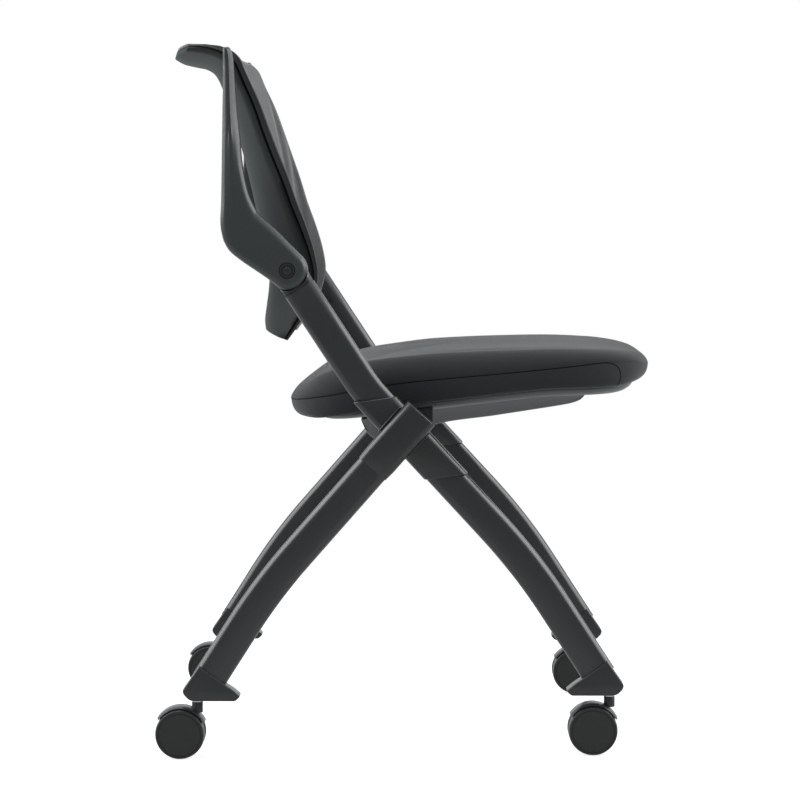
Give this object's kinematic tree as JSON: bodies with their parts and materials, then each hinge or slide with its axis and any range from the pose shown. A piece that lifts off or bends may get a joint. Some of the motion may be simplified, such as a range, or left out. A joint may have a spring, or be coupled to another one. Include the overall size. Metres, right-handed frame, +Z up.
{
  "type": "nesting chair",
  "caption": "Nesting chair with crossed oval-tube legs, flip-up upholstered seat, sprung curved back and twin-wheel casters, all charcoal black.",
  "frame": {"origin": "on the floor, midway between the sides, below the crossing of the legs", "axes": "+X is the way the sitter faces, +Y is to the sitter's left, +Z is up"},
  "size_m": [0.599, 0.585, 0.8514],
  "materials": {
    "frame_metal": "satin charcoal powder coat",
    "frame_plastic": "fine matt charcoal moulding",
    "shell_plastic": "smooth satin charcoal moulding",
    "seat_fabric": "black close weave",
    "back_fabric": "black stretch weave",
    "insert_board": "black",
    "plywood": "raw",
    "bright_steel": "turned",
    "black_steel": "black zinc",
    "bush_nylon": "natural",
    "rubber": "matt",
    "wheel_plastic": "smooth black moulding",
    "caster_plastic": "glossy black moulding"
  },
  "bodies": {
    "frame": {"left_front_tube": "frame_metal", "right_front_tube": "frame_metal", "left_rear_leg": "frame_metal", "right_rear_leg": "frame_metal", "left_junction_block": "frame_plastic", "right_junction_block": "frame_plastic", "left_leg_cap": "frame_plastic", "right_leg_cap": "frame_plastic", "cross_tube": "frame_metal", "cross_tube_plugs": "bright_steel", "junction_studs": "bright_steel", "block_screws": "black_steel", "front_left_foot": "frame_plastic", "front_right_foot": "frame_plastic", "rear_left_foot": "frame_plastic", "rear_right_foot": "frame_plastic", "left_back_fitting": "frame_plastic", "right_back_fitting": "frame_plastic", "fitting_screws": "black_steel", "pivot_bolts": "black_steel", "seat_stops": "frame_metal", "stop_bumpers": "rubber"},
    "seat": {"seat_cushion": "seat_fabric", "seat_board": "plywood", "seat_pan": "shell_plastic", "seat_carrier": "shell_plastic", "hinge_bushes": "bush_nylon", "seat_screws": "black_steel"},
    "back": {"left_back_arm": "frame_plastic", "right_back_arm": "frame_plastic", "pivot_bushes": "bush_nylon", "torsion_rings": "rubber", "back_shell": "shell_plastic", "back_pad": "back_fabric", "pad_insert": "insert_board", "arm_screws": "black_steel"},
    "front_left_caster": {"front_left_caster_stem": "bright_steel", "front_left_caster_housing": "caster_plastic", "front_left_caster_axle": "bright_steel"},
    "front_left_inner_wheel_body": {"front_left_inner_wheel": "wheel_plastic"},
    "front_left_outer_wheel_body": {"front_left_outer_wheel": "wheel_plastic"},
    "front_right_caster": {"front_right_caster_stem": "bright_steel", "front_right_caster_housing": "caster_plastic", "front_right_caster_axle": "bright_steel"},
    "front_right_inner_wheel_body": {"front_right_inner_wheel": "wheel_plastic"},
    "front_right_outer_wheel_body": {"front_right_outer_wheel": "wheel_plastic"},
    "rear_left_caster": {"rear_left_caster_stem": "bright_steel", "rear_left_caster_housing": "caster_plastic", "rear_left_caster_axle": "bright_steel"},
    "rear_left_inner_wheel_body": {"rear_left_inner_wheel": "wheel_plastic"},
    "rear_left_outer_wheel_body": {"rear_left_outer_wheel": "wheel_plastic"},
    "rear_right_caster": {"rear_right_caster_stem": "bright_steel", "rear_right_caster_housing": "caster_plastic", "rear_right_caster_axle": "bright_steel"},
    "rear_right_inner_wheel_body": {"rear_right_inner_wheel": "wheel_plastic"},
    "rear_right_outer_wheel_body": {"rear_right_outer_wheel": "wheel_plastic"}
  },
  "joints": [
    {"name": "seat_flip", "type": "hinge", "parent": "frame", "child": "seat", "pos_m": [0, 0, 0.388], "axis": [0, -1, 0], "range_deg": [0, 78]},
    {"name": "back_recline", "type": "hinge", "parent": "frame", "child": "back", "pos_m": [-0.13924, 0, 0.57959], "axis": [0, -1, 0], "range_deg": [0, 12], "stiffness_Nm_per_rad": 60, "springref_deg": -6.88},
    {"name": "front_left_swivel", "type": "hinge", "parent": "frame", "child": "front_left_caster", "pos_m": [0.24605, 0.241, 0], "axis": [0, 0, 1], "continuous": true},
    {"name": "front_left_inner_wheel_spin", "type": "hinge", "parent": "front_left_caster", "child": "front_left_inner_wheel_body", "pos_m": [0.22605, 0.241, 0.0295], "axis": [0, 1, 0], "continuous": true},
    {"name": "front_left_outer_wheel_spin", "type": "hinge", "parent": "front_left_caster", "child": "front_left_outer_wheel_body", "pos_m": [0.22605, 0.241, 0.0295], "axis": [0, 1, 0], "continuous": true},
    {"name": "front_right_swivel", "type": "hinge", "parent": "frame", "child": "front_right_caster", "pos_m": [0.24605, -0.241, 0], "axis": [0, 0, 1], "continuous": true},
    {"name": "front_right_inner_wheel_spin", "type": "hinge", "parent": "front_right_caster", "child": "front_right_inner_wheel_body", "pos_m": [0.22605, -0.241, 0.0295], "axis": [0, 1, 0], "continuous": true},
    {"name": "front_right_outer_wheel_spin", "type": "hinge", "parent": "front_right_caster", "child": "front_right_outer_wheel_body", "pos_m": [0.22605, -0.241, 0.0295], "axis": [0, 1, 0], "continuous": true},
    {"name": "rear_left_swivel", "type": "hinge", "parent": "frame", "child": "rear_left_caster", "pos_m": [-0.24649, 0.2705, 0], "axis": [0, 0, 1], "continuous": true},
    {"name": "rear_left_inner_wheel_spin", "type": "hinge", "parent": "rear_left_caster", "child": "rear_left_inner_wheel_body", "pos_m": [-0.26649, 0.2705, 0.0295], "axis": [0, 1, 0], "continuous": true},
    {"name": "rear_left_outer_wheel_spin", "type": "hinge", "parent": "rear_left_caster", "child": "rear_left_outer_wheel_body", "pos_m": [-0.26649, 0.2705, 0.0295], "axis": [0, 1, 0], "continuous": true},
    {"name": "rear_right_swivel", "type": "hinge", "parent": "frame", "child": "rear_right_caster", "pos_m": [-0.24649, -0.2705, 0], "axis": [0, 0, 1], "continuous": true},
    {"name": "rear_right_inner_wheel_spin", "type": "hinge", "parent": "rear_right_caster", "child": "rear_right_inner_wheel_body", "pos_m": [-0.26649, -0.2705, 0.0295], "axis": [0, 1, 0], "continuous": true},
    {"name": "rear_right_outer_wheel_spin", "type": "hinge", "parent": "rear_right_caster", "child": "rear_right_outer_wheel_body", "pos_m": [-0.26649, -0.2705, 0.0295], "axis": [0, 1, 0], "continuous": true}
  ]
}
